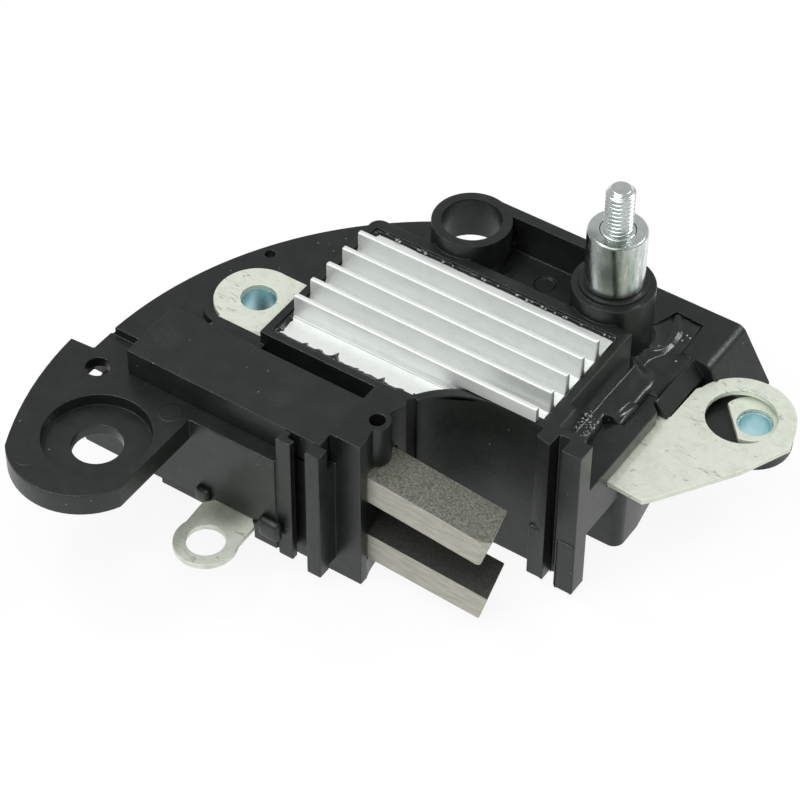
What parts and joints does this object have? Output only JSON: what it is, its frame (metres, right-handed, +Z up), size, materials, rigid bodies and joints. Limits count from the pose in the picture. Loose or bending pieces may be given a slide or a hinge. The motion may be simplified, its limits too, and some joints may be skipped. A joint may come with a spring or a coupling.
{
  "type": "alternator voltage regulator",
  "caption": "Electronic voltage regulator for an alternator, with a finned heat sink, spring-loaded carbon brushes, a threaded stud and ring terminals.",
  "frame": {"origin": "on the axis of the slip rings, at the height of the ear's top face", "axes": "+X along the brushes, out of their guides; +Y from the brushes towards the stud; +Z up along the rotor axis"},
  "size_m": [0.1058, 0.0969, 0.0545],
  "materials": {
    "black_plastic": "glass-filled black plastic, fine moulded grain",
    "cover_plastic": "fine-grained black plastic",
    "aluminium": "satin extruded aluminium",
    "sealant": "black silicone bead",
    "resin": "glossy black potting resin",
    "ceramic": "alumina substrate",
    "silicon": "bare silicon die",
    "strip_brass": "stamped brass strip",
    "carbon": "copper-graphite brush",
    "spring_steel": "drawn spring wire",
    "copper_braid": "braided copper lead",
    "zinc_steel": "bright zinc plating",
    "tinned_sheet": "tinned sheet, slightly stained",
    "blue_zinc": "blue-passivated zinc"
  },
  "bodies": {
    "holder": {"housing": "black_plastic", "brush_cover": "cover_plastic", "heat_sink": "aluminium", "sealant_bead": "sealant", "potting_resin": "resin", "hybrid_board": "ceramic", "regulator_chip": "silicon", "freewheel_diode": "silicon", "module_leads": "strip_brass", "upper_brush_spring": "spring_steel", "lower_brush_spring": "spring_steel", "upper_shunt_lead": "copper_braid", "lower_shunt_lead": "copper_braid", "upper_brush_strip": "strip_brass", "lower_brush_strip": "strip_brass", "stud": "zinc_steel", "spacer": "zinc_steel", "stud_strip": "strip_brass", "left_ring_terminal": "tinned_sheet", "left_bush": "blue_zinc", "small_ring_terminal": "tinned_sheet", "output_terminal": "tinned_sheet", "sense_lug": "tinned_sheet", "sense_bush": "blue_zinc"},
    "upper_brush": {"upper_brush": "carbon"},
    "lower_brush": {"lower_brush": "carbon"}
  },
  "joints": [
    {"name": "upper_brush_slide", "type": "slide", "parent": "holder", "child": "upper_brush", "axis": [-0.9954, 0, 0.0958], "range_m": [0, 0.017], "stiffness_N_per_m": 40, "springref_m": -0.045, "deforming": ["upper_brush_spring", "upper_shunt_lead"]},
    {"name": "lower_brush_slide", "type": "slide", "parent": "holder", "child": "lower_brush", "axis": [-0.9986, 0, 0.0523], "range_m": [0, 0.017], "stiffness_N_per_m": 40, "springref_m": -0.045, "deforming": ["lower_brush_spring", "lower_shunt_lead"]}
  ]
}
